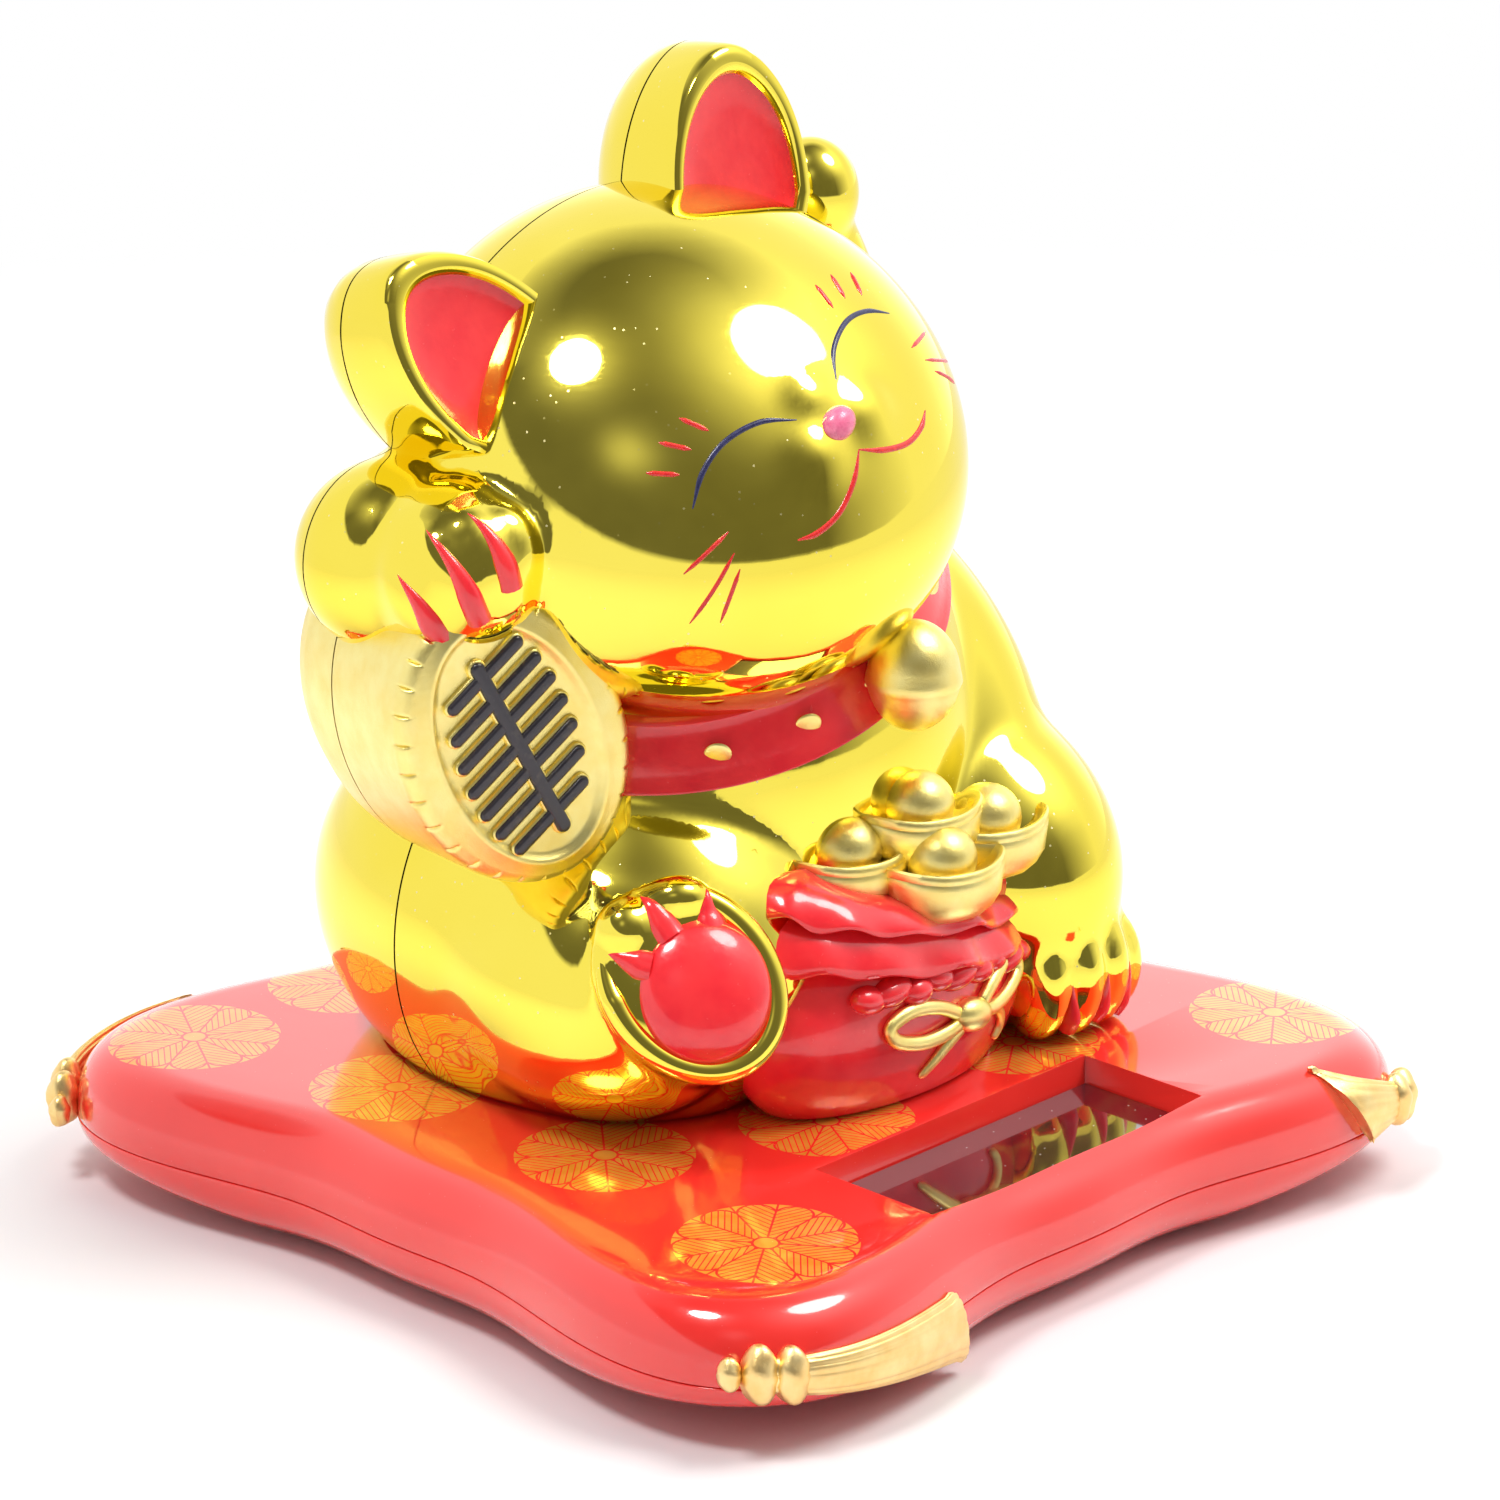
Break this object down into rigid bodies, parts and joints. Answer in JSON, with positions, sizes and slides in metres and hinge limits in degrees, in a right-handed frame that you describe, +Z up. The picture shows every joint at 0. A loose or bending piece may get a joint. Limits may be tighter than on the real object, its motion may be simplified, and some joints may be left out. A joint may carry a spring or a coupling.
{
  "type": "beckoning cat figurine",
  "caption": "Gold solar beckoning cat seated on a red cushion base, holding an oval coin and a bag of ingots, with one arm that swings on a pin.",
  "frame": {"origin": "on the ground, below the middle of the square cushion base", "axes": "+Z up; the cat faces -Y; its raised beckoning arm is on the +X side"},
  "size_m": [0.103, 0.1078, 0.1132],
  "materials": {
    "gold_chrome": "bright gold metallised plating",
    "gold_satin": "satin gold paint",
    "red_gloss": "high-gloss red lacquer",
    "red_paint": "gloss red paint",
    "black_paint": "black paint",
    "pink_paint": "pink paint",
    "cell_glass": "dark amorphous cell under clear glass",
    "board": "green circuit board laminate",
    "black_plastic": "black moulded plastic",
    "white_plastic": "natural white moulded plastic",
    "copper": "enamelled copper wire",
    "steel": "plated steel",
    "magnet": "nickel-plated magnet",
    "rubber": "black rubber",
    "red_lead": "red insulated wire"
  },
  "bodies": {
    "figure": {"bag_bow": "gold_satin", "base_screw_1": "steel", "base_screw_2": "steel", "base_screw_3": "steel", "base_screw_4": "steel", "bell": "gold_satin", "body_front_shell": "gold_chrome", "body_rear_shell": "gold_chrome", "cat_screw_1": "steel", "cat_screw_2": "steel", "cat_screw_3": "steel", "cat_screw_4": "steel", "circuit_board": "board", "coil_bobbin": "white_plastic", "coin_front_half": "gold_satin", "coin_rear_half": "gold_satin", "coin_relief": "black_paint", "collar": "red_paint", "cushion_bottom_shell": "red_gloss", "cushion_top_shell": "red_gloss", "drive_coil": "copper", "driver_chip": "black_plastic", "ear_lining_left": "red_paint", "ear_lining_right": "red_paint", "ingot_1": "gold_satin", "ingot_2": "gold_satin", "ingot_3": "gold_satin", "ingot_4": "gold_satin", "money_bag": "red_paint", "nose": "pink_paint", "rubber_foot_1": "rubber", "rubber_foot_2": "rubber", "rubber_foot_3": "rubber", "rubber_foot_4": "rubber", "solar_cell": "cell_glass", "solar_lead_black": "black_plastic", "solar_lead_red": "red_lead", "sole_pad_right": "red_paint", "storage_capacitor": "black_plastic", "swing_frame": "white_plastic", "tassel_front_left": "gold_satin", "tassel_front_right": "gold_satin", "tassel_rear_left": "gold_satin", "tassel_rear_right": "gold_satin"},
    "arm": {"beckoning_arm": "gold_chrome", "arm_pivot_pin": "steel", "arm_lever": "white_plastic", "swing_magnet": "magnet"}
  },
  "joints": [
    {"name": "arm_swing", "type": "hinge", "parent": "figure", "child": "arm", "pos_m": [0.018, 0.012, 0.0565], "axis": [1, 0, 0], "range_deg": [-16, 16]}
  ]
}
